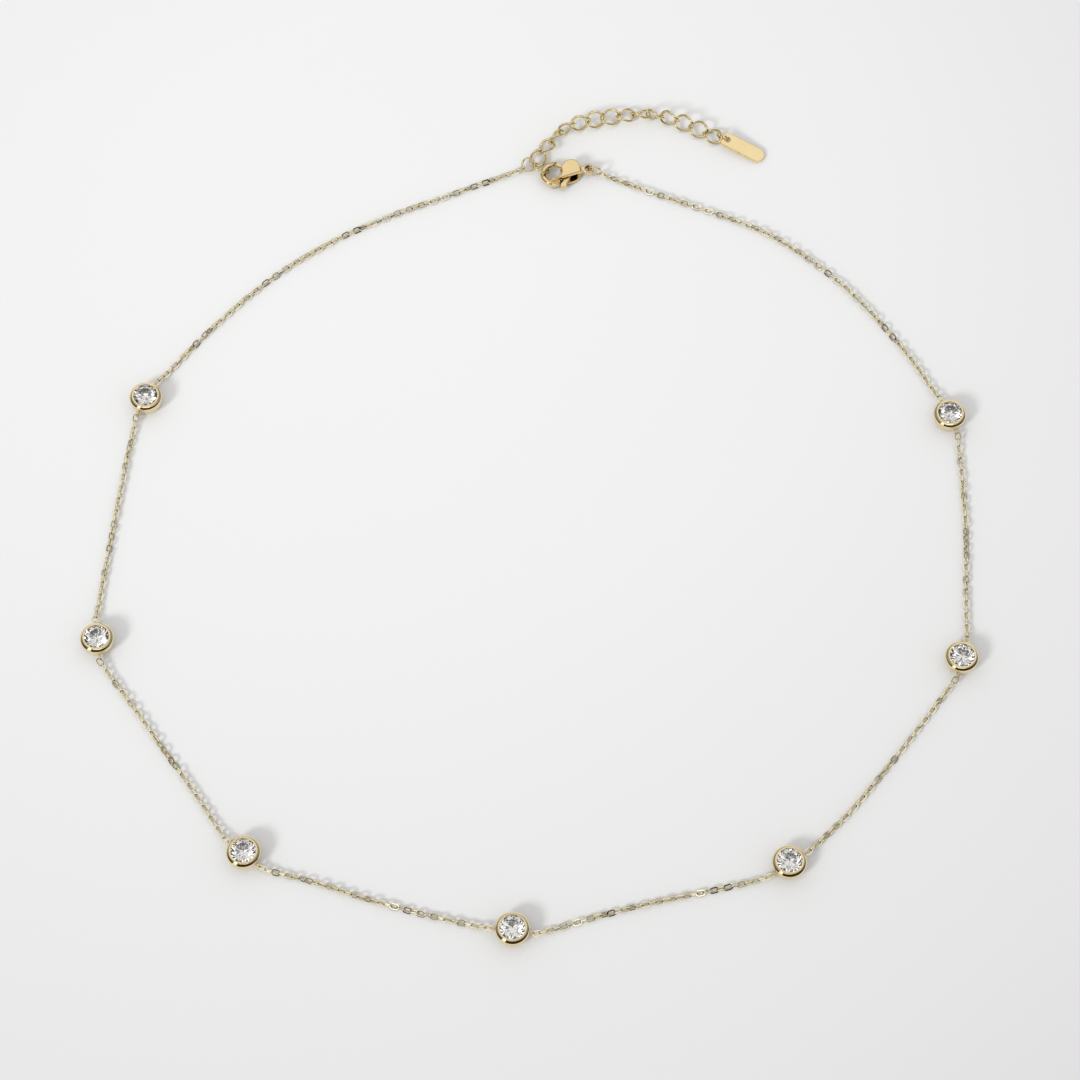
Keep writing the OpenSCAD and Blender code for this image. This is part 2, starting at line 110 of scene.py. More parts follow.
def reach_of(curve):
    """Length from the start of a curve to each of its points."""
    return np.concatenate([[0], np.cumsum(np.linalg.norm(np.diff(curve, axis=0), axis=1))])


def at_lengths(curve, wanted):
    """Points of a curve at the wanted lengths from its start."""
    reach = reach_of(curve)
    return np.column_stack([np.interp(wanted, reach, curve[:, k]) for k in range(curve.shape[1])])


class Shape:
    """Points and faces gathered in millimetres, then made into one mesh."""

    def __init__(self):
        self.points = []
        self.faces = []
        self.count = 0

    def add(self, points, faces):
        self.points.append(np.asarray(points, float))
        self.faces.extend([tuple(i + self.count for i in f) for f in faces])
        self.count += len(points)

    def piece(self, name, material, replaces, body=NECKLACE, sharp=50):
        """Object on a body in place of one frame node, with edges sharper than an angle kept."""
        mesh = bpy.data.meshes.new(name)
        mesh.from_pydata(np.vstack(self.points) * MM, [], self.faces)
        mesh.validate()
        mesh.shade_smooth()
        mesh.set_sharp_from_angle(angle=math.radians(sharp))
        mesh.materials.append(material)
        obj = bpy.data.objects.new(name, mesh)
        bpy.context.scene.collection.objects.link(obj)
        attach(obj, body)
        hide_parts(replaces)


def grid_faces(rows, columns, closed_rows, closed_columns):
    """Quads between neighbouring rows of points, each row holding the given number of points."""
    faces = []
    for i in range(rows if closed_rows else rows - 1):
        i2 = (i + 1) % rows
        for k in range(columns if closed_columns else columns - 1):
            k2 = (k + 1) % columns
            faces.append((i * columns + k, i * columns + k2, i2 * columns + k2, i2 * columns + k))
    return faces


# Reach of a rounded square section that counts as its round size
SQUARE_REACH = 1.2


def section(sides, flatness):
    """Round section of unit radius, pressed flatter towards a rounded square by flatness."""
    a = 2 * np.pi * (np.arange(sides) + 0.5) / sides
    c, s = np.cos(a), np.sin(a)
    squared = np.maximum(np.abs(c), np.abs(s))
    size = 1 + flatness * (1 / squared - SQUARE_REACH)
    return c * size, s * size


def loop_sweep(path, wire, sides, flatness=0.0):
    """Closed sweep of a section around a loop of points whose middle is the origin."""
    along = unit(np.roll(path, -1, 0) - np.roll(path, 1, 0))
    out = unit(path - (path * along).sum(1, keepdims=True) * along)
    side = np.cross(along, out)
    c, s = section(sides, flatness)
    offsets = c[None, :, None] * out[:, None] + s[None, :, None] * side[:, None]
    rings = path[:, None] + wire / 2 * offsets
    return rings.reshape(-1, 3), grid_faces(len(path), sides, True, True)


def oval_path(half_l, half_w, steps):
    """Loop of points along a flat oval with round ends, evenly spaced."""
    straight = half_l - half_w
    total = 4 * straight + 2 * math.pi * half_w
    places = (np.arange(steps) + 0.5) / steps * total
    points = []
    for d in places:
        part = d % (total / 2)
        sign = 1 if d < total / 2 else -1
        if part < math.pi * half_w:
            a = part / half_w - math.pi / 2
            p = (straight + half_w * math.cos(a), half_w * math.sin(a))
        else:
            p = (straight - (part - math.pi * half_w), half_w)
        points.append((sign * p[0], sign * p[1], 0))
    return np.array(points)


# Materials

# Range that most of a noise texture's values lie in
NOISE_RANGE = (0.3, 0.7)
TONE_SCALE = 350
WEAR_SCALE = 1400
WEAR_DISTORTION = 0.6
GRAIN_STRENGTH = 0.6
# Painted shade of a recess, by the share of open space round the point
PAINTED_SHADE_STOPS = [(0.35, (0.06, 0.06, 0.055)), (0.72, (1.0, 1.0, 1.0))]
STONE_TINT_SCALE = 900
STONE_TINTS = [(0.98, 0.95, 0.91), (1.0, 0.98, 0.95)]
STONE_WEAR_SCALE = 6000
STONE_ROUGH = (0.0, 0.012)
STONE_IOR = 2.16


def new_material(name):
    """Material, with its tree, its shader and the place of the shaded point on the object."""
    material = bpy.data.materials.new(name)
    material.use_nodes = True
    tree = material.node_tree
    place = tree.nodes.new("ShaderNodeTexCoord").outputs["Object"]
    return material, tree, tree.nodes["Principled BSDF"], place


def noise(tree, coordinates, scale, detail, distortion=0.0):
    node = tree.nodes.new("ShaderNodeTexNoise")
    node.inputs["Scale"].default_value = scale
    node.inputs["Detail"].default_value = detail
    node.inputs["Distortion"].default_value = distortion
    tree.links.new(coordinates, node.inputs["Vector"])
    return node.outputs["Fac"]


def ramp(tree, value, stops):
    """Colour ramp through (place, colour) stops."""
    node = tree.nodes.new("ShaderNodeValToRGB")
    elements = node.color_ramp.elements
    while len(elements) < len(stops):
        elements.new(0.5)
    for element, (place, colour) in zip(elements, stops):
        element.position = place
        element.color = (*colour, 1)
    tree.links.new(value, node.inputs["Fac"])
    return node.outputs["Color"]


def tones(tree, value, dark, light):
    """Colour from dark to light over the range of a noise value."""
    return ramp(tree, value, list(zip(NOISE_RANGE, (dark, light))))


def span(tree, value, low, high):
    """Number from low to high over the range of a noise value."""
    node = tree.nodes.new("ShaderNodeMapRange")
    node.inputs["From Min"].default_value = NOISE_RANGE[0]
    node.inputs["From Max"].default_value = NOISE_RANGE[1]
    node.inputs["To Min"].default_value = low
    node.inputs["To Max"].default_value = high
    tree.links.new(value, node.inputs["Value"])
    return node.outputs["Result"]


def paint_recess_shade(tree, tone, reach):
    """The tone with painted shade: darker where other metal lies within the reach."""
    shade_occlusion = tree.nodes.new("ShaderNodeAmbientOcclusion")
    shade_occlusion.inputs["Distance"].default_value = reach * MM
    tree.links.new(tone, shade_occlusion.inputs["Color"])
    mix = tree.nodes.new("ShaderNodeMix")
    mix.data_type = "RGBA"
    mix.blend_type = "MULTIPLY"
    mix.inputs[0].default_value = 1.0
    tree.links.new(tone, mix.inputs[6])
    tree.links.new(ramp(tree, shade_occlusion.outputs["AO"], PAINTED_SHADE_STOPS), mix.inputs[7])
    return mix.outputs[2]


def gold(name, dark, light, rough, grain_scale, grain_height, painted_shade_reach=0.0):
    """Polished plated metal: slow colour change, uneven polish, a fine grain and painted shade in
    its recesses.
    """
    material, tree, shader, place = new_material(name)
    tone = tones(tree, noise(tree, place, TONE_SCALE, 3), dark, light)
    # painted shade: the colour darkens where metal crowds round, standing in for the shade in
    # recesses and between links
    if painted_shade_reach:
        tone = paint_recess_shade(tree, tone, painted_shade_reach)
    wear = noise(tree, place, WEAR_SCALE, 5, WEAR_DISTORTION)
    bump = tree.nodes.new("ShaderNodeBump")
    bump.inputs["Strength"].default_value = GRAIN_STRENGTH
    bump.inputs["Distance"].default_value = grain_height * MM
    tree.links.new(noise(tree, place, grain_scale, 4), bump.inputs["Height"])
    tree.links.new(tone, shader.inputs["Base Color"])
    tree.links.new(span(tree, wear, *rough), shader.inputs["Roughness"])
    tree.links.new(bump.outputs["Normal"], shader.inputs["Normal"])
    shader.inputs["Metallic"].default_value = 1.0
    return material


def clear_stone():
    """Clear cut stone: almost colourless, highly refractive, with a trace of wear on its polish."""
    material, tree, shader, place = new_material("clear_stone")
    tint = noise(tree, place, STONE_TINT_SCALE, 2)
    wear = noise(tree, place, STONE_WEAR_SCALE, 3)
    tree.links.new(tones(tree, tint, *STONE_TINTS), shader.inputs["Base Color"])
    tree.links.new(span(tree, wear, *STONE_ROUGH), shader.inputs["Roughness"])
    shader.inputs["Transmission Weight"].default_value = 1.0
    shader.inputs["IOR"].default_value = STONE_IOR
    return material


# A last number, where given, is the reach in mm of the painted shade in a metal's recesses
SETTING_GOLD = gold(
    "setting_gold", (0.83, 0.69, 0.42), (0.88, 0.75, 0.48), (0.05, 0.11), 9000, 0.002
)
CHAIN_GOLD = gold(
    "chain_gold", (0.90, 0.80, 0.54), (0.96, 0.88, 0.64), (0.05, 0.10), 9000, 0.003, 0.28
)
RING_GOLD = gold(
    "ring_gold", (0.84, 0.69, 0.39), (0.90, 0.77, 0.48), (0.06, 0.12), 9000, 0.003, 0.4
)
EXTENDER_GOLD = gold(
    "extender_gold", (0.85, 0.70, 0.38), (0.92, 0.79, 0.47), (0.05, 0.11), 7000, 0.003, 0.5
)
CLASP_GOLD = gold(
    "clasp_gold", (0.84, 0.64, 0.32), (0.90, 0.70, 0.38), (0.08, 0.15), 5000, 0.003, 1.0
)
TAG_GOLD = gold(
    "tag_gold", (0.95, 0.76, 0.40), (0.98, 0.80, 0.46), (0.15, 0.21), 5000, 0.0002
)
CLEAR_STONE = clear_stone()


# Settings: a turned wall with an open back, and two oval eyes

SETTING_R = 2.5
SETTING_H = 2.6
WIDEST_Z = 1.96
BULGE_R = 3.6
CORNER_R = 0.5
BEVEL_R = 1.5
BEVEL_START = 43
LIP_OUTER_R = 2.06
LIP_R = 1.80
GROOVE_R = 1.95
BACK_HOLE_R = 1.2
PAVILION_ANGLE = 40.8
GIRDLE_Z = (SETTING_H - 0.30, SETTING_H - 0.25)
SEAT_GAP = 0.03
GROOVE_GAP = 0.04
LIP_GAP = 0.11
EYE_L = 1.2
EYE_H = 1.1
EYE_WIRE = 0.28
EYE_Z = 0.9
EYE_FAR_R = 3.25

# Roundings of the profile's corners
FOOT_ROUND = 0.22
BEVEL_ROUND = 0.02
LIP_OUTER_ROUND = 0.04
LIP_INNER_ROUND = 0.05
INSIDE_ROUND = 0.03
# Most of a side that the rounding of one of its corners may take
SIDE_SHARE = 0.45

BULGE_STEPS = 16
BEVEL_STEPS = 10
ROUND_STEPS = 4
WALL_TURNS = 144
EYE_POINTS = 48
EYE_SIDES = 16


def corner(before, at, after, r, steps):
    """Points that round one corner of a profile with about the radius r."""
    before, at, after = (np.array(p, float) for p in (before, at, after))
    start = at + unit(before - at) * min(r, SIDE_SHARE * np.linalg.norm(before - at))
    end = at + unit(after - at) * min(r, SIDE_SHARE * np.linalg.norm(after - at))
    t = np.linspace(0, 1, steps + 1)[:, None]
    return (1 - t) ** 2 * start + 2 * t * (1 - t) * at + t**2 * end


def arc_points(at, r, first, last, steps):
    a = np.radians(np.linspace(first, last, steps + 1))
    return np.column_stack([at[0] + r * np.cos(a), at[1] + r * np.sin(a)])


def setting_profile():
    """Closed outline of the wall, as (radius, height), from the back hole round the outside."""
    corner_at = np.array([SETTING_R - CORNER_R, WIDEST_Z])
    bevel_at = corner_at - (BEVEL_R - CORNER_R) * direction(BEVEL_START)
    bevel_end = math.degrees(math.acos((LIP_OUTER_R - bevel_at[0]) / BEVEL_R))
    low = -math.degrees(math.asin(WIDEST_Z / BULGE_R))
    outside = np.vstack([
        arc_points((SETTING_R - BULGE_R, WIDEST_Z), BULGE_R, low, 0, BULGE_STEPS)[:-1],
        arc_points(corner_at, CORNER_R, 0, BEVEL_START, BEVEL_STEPS)[:-1],
        arc_points(bevel_at, BEVEL_R, BEVEL_START, bevel_end, BEVEL_STEPS),
        [(LIP_OUTER_R, SETTING_H)],
    ])
    groove_low = GIRDLE_Z[0] - SEAT_GAP
    seat = groove_low - (GROOVE_R - BACK_HOLE_R) * math.tan(math.radians(PAVILION_ANGLE))
    inside = [
        (LIP_R, SETTING_H), (LIP_R, GIRDLE_Z[1] + LIP_GAP), (GROOVE_R, GIRDLE_Z[1] + GROOVE_GAP),
        (GROOVE_R, groove_low), (BACK_HOLE_R, seat), (BACK_HOLE_R, 0.0),
    ]
    outline = [*map(tuple, outside), *inside]
    count = len(outline)
    top = len(outside)
    rounded = {0: FOOT_ROUND, top - 2: BEVEL_ROUND, top - 1: LIP_OUTER_ROUND, top: LIP_INNER_ROUND}
    rounded.update({top + k: INSIDE_ROUND for k in range(1, len(inside))})
    points = []
    for i, p in enumerate(outline):
        if i in rounded:
            after = outline[(i + 1) % count]
            points.extend(corner(outline[i - 1], p, after, rounded[i], ROUND_STEPS))
        else:
            points.append(p)
    return np.array(points)


def setting(i):
    x, y, eye = STATIONS[i]
    profile = setting_profile()
    a = 2 * np.pi * np.arange(WALL_TURNS) / WALL_TURNS
    wall = np.stack(
        [profile[None, :, 0] * np.cos(a)[:, None], profile[None, :, 0] * np.sin(a)[:, None],
         np.broadcast_to(profile[:, 1], (WALL_TURNS, len(profile)))],
        axis=2,
    ).reshape(-1, 3)
    shape = Shape()
    place = np.array([x, y, 0])
    faces = [f[::-1] for f in grid_faces(WALL_TURNS, len(profile), True, True)]
    shape.add(wall + place, faces)
    loop = oval_path((EYE_L - EYE_WIRE) / 2, (EYE_H - EYE_WIRE) / 2, EYE_POINTS) @ spin(90, 0).T
    points, faces = loop_sweep(loop, EYE_WIRE, EYE_SIDES)
    for side in (0, 180):
        shift = np.append((EYE_FAR_R - EYE_L / 2) * direction(eye + side), EYE_Z)
        shape.add(points @ spin(eye + side, 2).T + shift + place, faces)
    shape.piece(f"bezel_{i + 1}", SETTING_GOLD, f"setting_{i + 1}", sharp=40)


for i in range(len(STATIONS)):
    setting(i)


# Fine cable chain: interlocking oval links, alternately turned

CHAIN_WIRE = 0.27
CHAIN_W = 1.05
CHAIN_PITCH = 1.0
CHAIN_POINTS = 28
CHAIN_SIDES = 10
CHAIN_FLATNESS = 0.5
ROUTE_STEPS = 24
# Middles of the links on the end ring and on the clasp ring
RING_START = (-1.65, 58.93, 0.65)
RING_END = (11.36, 57.99, 0.73)
# Length over which a run rises to the piece that it hangs on
CHAIN_TAIL = 3.5
# Links from an end after which a link rolls and turns freely
FREE_AFTER = 6
# Free roll in degrees: waves as (size, rate) with random phases, and a random part
ROLL_WAVES = [(28, 0.23), (22, 0.61)]
WAVE_PHASES = (0, 6)
LOOSE_ROLL = 9
LOOSE_TURN = 3
# Share of the slope that a free link doesn't follow
FREE_LEVEL = 0.6
# How far a link hangs below the mean height of its neighbours
CHAIN_NESTLE = 0.11
# Lengths on both sides of a link that give its direction
CHAIN_AIM = 0.4
rng = np.random.default_rng(11)


def run_ends(i, half_l):
    """Middles of a run's first and last links, hooked into an eye or a ring."""
    first, last = RING_START, RING_END
    hook = EYE_FAR_R - EYE_WIRE - CHAIN_WIRE / 2 + half_l
    if i > 0:
        x, y, eye = STATIONS[i - 1]
        first = (*(np.array([x, y]) + hook * direction(eye + 180)), EYE_Z)
    if i < len(STATIONS):
        x, y, eye = STATIONS[i]
        last = (*(np.array([x, y]) + hook * direction(eye)), EYE_Z)
    return np.array(first), np.array(last)


def chain_run(i):
    """One run of links, flat at both ends, or upright at the end ring."""
    on_end_ring = i == 0
    half_l = (CHAIN_PITCH + CHAIN_WIRE) / 2
    for _ in range(2):
        first, last = run_ends(i, half_l)
        route = smooth_curve([first[:2], *RUNS[i], last[:2]], ROUTE_STEPS)
        total = reach_of(route)[-1]
        steps = round(total / CHAIN_PITCH)
        if steps % 2 != on_end_ring:
            steps += 1 if total / steps > CHAIN_PITCH else -1
        pitch = total / steps
        half_l = (pitch + CHAIN_WIRE) / 2
    count = steps + 1
    order = np.arange(count)
    places = at_lengths(route, order * pitch)
    free = np.clip(np.minimum(order, count - 1 - order) / FREE_AFTER, 0, 1)
    wave = sum(size * np.sin(order * rate + rng.uniform(*WAVE_PHASES)) for size, rate in ROLL_WAVES)
    upright = 90.0 if on_end_ring else 0.0
    roll = np.where(order % 2 == 0, upright, 90.0 - upright)
    roll = roll + free * (wave + rng.uniform(-LOOSE_ROLL, LOOSE_ROLL, count))
    half_w = (CHAIN_W - CHAIN_WIRE) / 2
    rest = CHAIN_WIRE / 2 + half_w * np.abs(np.sin(np.radians(roll)))
    around = (np.roll(rest, 1) + np.roll(rest, -1)) / 2
    height = np.maximum(rest, around - CHAIN_NESTLE)
    for end, distance in ((first, order), (last, count - 1 - order)):
        fade = np.clip(1 - distance * pitch / CHAIN_TAIL, 0, 1) ** 2
        height = height + (end[2] - height) * fade
    ahead = at_lengths(route, np.clip(order * pitch + CHAIN_AIM, 0, total))
    behind = at_lengths(route, np.clip(order * pitch - CHAIN_AIM, 0, total))
    turn = np.degrees(np.arctan2(*(ahead - behind).T[::-1]))
    lift = np.degrees(np.arctan(np.gradient(height, pitch))) * (1 - free * FREE_LEVEL)
    loop = oval_path(half_l, half_w, CHAIN_POINTS)
    points, faces = loop_sweep(loop, CHAIN_WIRE, CHAIN_SIDES, CHAIN_FLATNESS)
    shape = Shape()
    for k in range(count):
        yaw = turn[k] + free[k] * rng.uniform(-LOOSE_TURN, LOOSE_TURN)
        m = spin(yaw, 2) @ spin(-lift[k], 1) @ spin(roll[k], 0)
        shape.add(points @ m.T + np.append(places[k], height[k]), faces)
    shape.piece(f"cable_chain_{i + 1}", CHAIN_GOLD, f"chain_{i + 1}")


for i in range(len(RUNS)):
    chain_run(i)


# Jump rings: round wire bent to a ring, with a fine seam where its ends meet

# Rows: piece, node, middle, turn, lean, outer diameter, wire, angle of the seam
RINGS = [
    ("ring_of_chain_end", "end_ring", (-0.47, 59.44, 1.21), -46, 35, 2.5, 0.33, 100),
    ("ring_joining", "joining_ring", (1.46, 58.76, 1.3), 144, 45, 3.5, 0.38, 60),
    ("ring_of_tag", "tag_ring", (30.6, 64.7, 1.2), -36, 95, 2.3, 0.33, 200),
    ("ring_of_clasp", "clasp_ring", (10.116, 58.371, 1.2), -15, 90, 2.4, 0.33, 140),
]
RING_POINTS = 97
RING_SIDES = 20
SEAM_HALF_GAP = 0.02
SEAM_CHAMFER = 0.02
SEAM_CROWN = 0.015


def jump_ring(name, node, at, turn, lean, d, wire, seam_at):
    r = (d - wire) / 2
    gap = SEAM_HALF_GAP / r
    a = math.radians(seam_at) + np.linspace(gap, 2 * math.pi - gap, RING_POINTS)
    path = np.column_stack([r * np.cos(a), r * np.sin(a), np.zeros(len(a))])
    c, s = section(RING_SIDES, 0)
    offsets = c[None, :, None] * unit(path)[:, None] + s[None, :, None] * np.array([0.0, 0.0, 1.0])
    rings = path[:, None] + wire / 2 * offsets
    small = path[:, None] + (wire / 2 - SEAM_CHAMFER) * offsets
    crown = np.column_stack([-np.sin(a), np.cos(a), np.zeros(len(a))]) * SEAM_CROWN
    rows = [small[:1] - crown[:1, None], rings, small[-1:] + crown[-1:, None]]
    points = np.vstack(rows).reshape(-1, 3)
    count = RING_POINTS + 2
    faces = [f[::-1] for f in grid_faces(count, RING_SIDES, False, True)]
    faces.append(tuple(range(RING_SIDES)))
    faces.append(tuple(reversed(range((count - 1) * RING_SIDES, count * RING_SIDES))))
    m = spin(turn, 2) @ spin(lean, 0)
    shape = Shape()
    shape.add(points @ m.T + np.array(at), faces)
    shape.piece(name, RING_GOLD, node, sharp=60)


for row in RINGS:
    jump_ring(*row)


# Extender: twisted oval links of round wire

LINK_L = 3.5
LINK_W = 2.9
LINK_WIRE = 0.42
LINK_COUNT = 14
LINK_POINTS = 64
LINK_SIDES = 16
# Roll from one link to the next, and twist of a link's ends against each other, in degrees
LINK_TURN = -28
LINK_TWIST = 40
# How far a link hangs below the mean height of its neighbours
LINK_NESTLE = 0.05
FIRST_LINK_LIFT = 9
LINK_AIM = 0.6
EXTENDER_STEPS = 12


def twisted_link(roll, lift):
    t = 2 * np.pi * np.arange(LINK_POINTS) / LINK_POINTS
    twist = np.radians(LINK_TWIST * np.cos(t) + roll)
    half_l, half_w = (LINK_L - LINK_WIRE) / 2, (LINK_W - LINK_WIRE) / 2
    path = np.column_stack(
        [half_l * np.cos(t), half_w * np.sin(t) * np.cos(twist), half_w * np.sin(t) * np.sin(twist)]
    )
    return path @ spin(-lift, 1).T


def extender():
    route = smooth_curve(EXTENDER_ROUTE, EXTENDER_STEPS)
    total = reach_of(route)[-1]
    last = LINK_COUNT - 1
    paths = [twisted_link(LINK_TURN * k, 0 if k else FIRST_LINK_LIFT) for k in range(LINK_COUNT)]
    rest = [LINK_WIRE / 2 - path[:, 2].min() for path in paths]
    shape = Shape()
    for k, path in enumerate(paths):
        along = total * k / last
        behind, at, ahead = at_lengths(
            route, [max(along - LINK_AIM, 0), along, min(along + LINK_AIM, total)]
        )
        turn = math.degrees(math.atan2(*(ahead - behind)[::-1]))
        held = (rest[max(k - 1, 0)] + rest[min(k + 1, last)]) / 2 - LINK_NESTLE
        height = rest[k] if k in (0, last) else max(rest[k], held)
        points, faces = loop_sweep(path, LINK_WIRE, LINK_SIDES)
        shape.add(points @ spin(turn, 2).T + np.append(at, height), faces)
    shape.piece("extender_links", EXTENDER_GOLD, "extender")


extender()


# Signed distance fields, negative inside, and the mesh of a field


def disc(x, y, at, r):
    return np.hypot(x - at[0], y - at[1]) - r


def drop(x, y, head_at, head_r, tail_at, tail_r):
    """Head circle and tail circle joined along their tangents."""
    line = np.subtract(tail_at, head_at)
    length = np.linalg.norm(line)
    ux, uy = line / length
    dx, dy = x - head_at[0], y - head_at[1]
    along = dx * ux + dy * uy
    across = np.abs(dx * uy - dy * ux)
    b = (head_r - tail_r) / length
    a = math.sqrt(1 - b * b)
    k = a * along - b * across
    side = a * across + b * along - head_r
    head = np.hypot(across, along) - head_r
    tail = np.hypot(across, along - length) - tail_r
    return np.where(k < 0, head, np.where(k > a * length, tail, side))


def polygon(x, y, corners):
    best = np.full(x.shape, np.inf)
    sign = np.ones(x.shape)
    corners = np.asarray(corners, float)
    for (ax, ay), (bx, by) in zip(corners, np.roll(corners, -1, 0)):
        ex, ey = bx - ax, by - ay
        wx, wy = x - ax, y - ay
        t = np.clip((wx * ex + wy * ey) / (ex * ex + ey * ey), 0, 1)
        best = np.minimum(best, (wx - ex * t) ** 2 + (wy - ey * t) ** 2)
        above, below, left = y >= ay, y < by, ex * wy > ey * wx
        flip = (above & below & left) | (~above & ~below & ~left)
        sign = np.where(flip, -sign, sign)
    return sign * np.sqrt(best)


def past_ray(x, y, at, degrees):
    """Distance past a ray from a point, on its left side."""
    d = direction(degrees)
    return -(x - at[0]) * d[1] + (y - at[1]) * d[0]


def blend_min(a, b, k):
    """Union of two fields, with a fillet of about the size k."""
    h = np.maximum(k - np.abs(a - b), 0) / k
    return np.minimum(a, b) - h * h * k / 4


def blend_max(a, b, k):
    """Common part of two fields, with its edge rounded by about k."""
    return -blend_min(-a, -b, k)


def slab(flat, z, low, high, rounding):
    """Outline given height, with rounded edges."""
    across = flat + rounding
    up = np.abs(z - (low + high) / 2) - (high - low) / 2 + rounding
    outside = np.hypot(np.maximum(across, 0), np.maximum(up, 0))
    return np.minimum(np.maximum(across, up), 0) + outside - rounding


NET_STEP = 0.05
SETTLE_ROUNDS = 5
# Least squared slope that a point is moved by, so that none jumps where a field is flat
LEAST_SLOPE = 0.2


def surface_net(field, low, high):
    """Mesh of the field's zero surface: one point in each cell that it crosses, moved onto it."""
    axes = [np.arange(lo, hi + NET_STEP, NET_STEP) for lo, hi in zip(low, high)]
    inside = field(*np.meshgrid(*axes, indexing="ij")) < 0
    full = np.ones([n - 1 for n in inside.shape], bool)
    none = full.copy()
    for corner_at in np.ndindex(2, 2, 2):
        part = inside[tuple(slice(c, c + n) for c, n in zip(corner_at, full.shape))]
        full &= part
        none &= ~part
    crossed = ~(full | none)
    index = np.full(crossed.shape, -1)
    index[crossed] = np.arange(crossed.sum())
    points = settle(field, np.array(low) + (np.argwhere(crossed) + 0.5) * NET_STEP)
    faces = []
    for axis in range(3):
        u, v = (axis + 1) % 3, (axis + 2) % 3
        now = np.moveaxis(inside, (axis, u, v), (0, 1, 2))
        cells = np.moveaxis(index, (axis, u, v), (0, 1, 2))
        here, there = now[:-1, 1:-1, 1:-1], now[1:, 1:-1, 1:-1]
        quad = [cells[:, :-1, :-1], cells[:, 1:, :-1], cells[:, 1:, 1:], cells[:, :-1, 1:]]
        out = here & ~there
        back = there & ~here
        faces.append(np.column_stack([q[out] for q in quad]))
        faces.append(np.column_stack([q[back] for q in reversed(quad)]))
    return points, np.vstack(faces).tolist()


def settle(field, points):
    """Moves points along the field's slope onto its zero surface."""
    e = NET_STEP / 20
    for _ in range(SETTLE_ROUNDS):
        value = field(*points.T)
        slope = np.column_stack([
            (field(*(points + shift).T) - field(*(points - shift).T)) / (2 * e)
            for shift in np.eye(3) * e
        ])
        size = np.maximum((slope**2).sum(1), LEAST_SLOPE)
        move = -(value / size)[:, None] * slope
        points = points + np.clip(move, -NET_STEP, NET_STEP)
    return points


# Lobster clasp, in its own frame: hook to the left, eye to the right, its pin near the origin

CLASP_AT = (6.2, 58.2, 0)
CLASP_TURN = 6
CLASP_T = 2.2
MID_Z = CLASP_T / 2
POCKET_Z = (0.65, 1.55)
POCKET_CORNERS = [
    (0.4, 0.9), (-0.5, 1.18), (-1.2, 1.7), (-2.6, 1.9), (-2.6, -0.9), (-1.62, -0.98),
    (-1.8, -1.72), (-1.8, -2.6), (2.0, -2.6), (2.0, -0.45), (1.1, -0.35), (0.8, 0.2),
]
POCKET_BLEND = 0.12
HOOK_AT = (-2.6, -0.15)
HOOK_R = 1.75
HOOK_BAR = 0.94
HOOK_ARC = (70, 296)
HOOK_END_BLEND = 0.08
HOOK_BLEND = 0.1
# Notch in the hook's tip that the gate closes into: its corner, angle, span along it and depth
TIP_CUT_AT = (-2.7, 1.2)
TIP_CUT_ANGLE = 41
TIP_CUT_MIDDLE = 0.5
TIP_CUT_HALF = 1.1
TIP_CUT_DEPTH = 0.8
TIP_CUT_BLEND = 0.06
# Circles of the base and the plate, as (middle, radius)
BASE_HEAD = ((0, 0), 1.7)
BASE_TAIL = ((-2.8, -1.85), 0.42)
BASE_TOP = POCKET_Z[1] + 0.15
BASE_ROUND = 0.22
PLATE_HEAD = ((0.2, 0.4), 1.35)
PLATE_CORNER = ((1.35, -0.55), 0.25)
PLATE_TAIL = ((-3.2, -1.8), 0.15)
PLATE_ROUND = 0.16
PLATE_BLEND = 0.06
OPENING_BLEND = 0.1
PIN_AT = (0, 0.2)
PIN_R = 0.35
PIN_SINK = 0.1
PIN_ROUND = 0.02
HUB_R = 0.75
HUB_GAP = 0.1
CLASP_EYE_AT = (2.9, 0.15)
CLASP_EYE_R = 0.9
CLASP_EYE_HOLE_R = 0.5
CLASP_EYE_ROUND = 0.2
CLASP_EYE_HOLE_BLEND = 0.15
NECK_X = 2.05
NECK_HALF = (0.85, 0.45)
NECK_BLEND = 0.35
SOLDER_BLEND = 0.2

# Lever: a gate arm on the hook's circle, a hub on the pin, and a trigger with a thumb tab
GATE_HALF = 0.28
GATE_ARC = (5, 85)
GATE_GAP = 0.08
TRIGGER_ANGLE = 244
TRIGGER_REACH = 3.0
TRIGGER_ROOT_HALF = 0.675
TRIGGER_TIP_HALF = 0.275
TAB_R = 0.5
TAB_BLEND = 0.3
LEVER_BLEND = 0.15
LEVER_GAP = 0.05
LEVER_ROUND = 0.1
BORE_R = 0.4
BORE_BLEND = 0.04


def pocket_outline(x, y):
    return np.minimum(polygon(x, y, POCKET_CORNERS), disc(x, y, PIN_AT, HUB_R + HUB_GAP))


def plate_outline(x, y):
    middles = [PLATE_HEAD[0], PLATE_CORNER[0], PLATE_TAIL[0]]
    sides = [
        drop(x, y, *PLATE_HEAD, *PLATE_CORNER), drop(x, y, *PLATE_HEAD, *PLATE_TAIL),
        drop(x, y, *PLATE_CORNER, *PLATE_TAIL), polygon(x, y, middles),
    ]
    return np.minimum.reduce(sides)


def hook_field(x, y, z):
    from_middle = disc(x, y, HOOK_AT, 0)
    bar = np.hypot(from_middle - HOOK_R, z - MID_Z) - HOOK_BAR / 2
    first, last = (past_ray(x, y, HOOK_AT, a) for a in HOOK_ARC)
    hook = blend_max(bar, np.minimum(-first, last), HOOK_END_BLEND)
    cut = direction(TIP_CUT_ANGLE)
    u = (x - TIP_CUT_AT[0]) * cut[0] + (y - TIP_CUT_AT[1]) * cut[1]
    v = past_ray(x, y, TIP_CUT_AT, TIP_CUT_ANGLE)
    tip_cut = np.maximum(
        np.abs(u - TIP_CUT_MIDDLE) - TIP_CUT_HALF, np.maximum(v, -TIP_CUT_DEPTH - v)
    )
    return blend_max(hook, -tip_cut, TIP_CUT_BLEND)


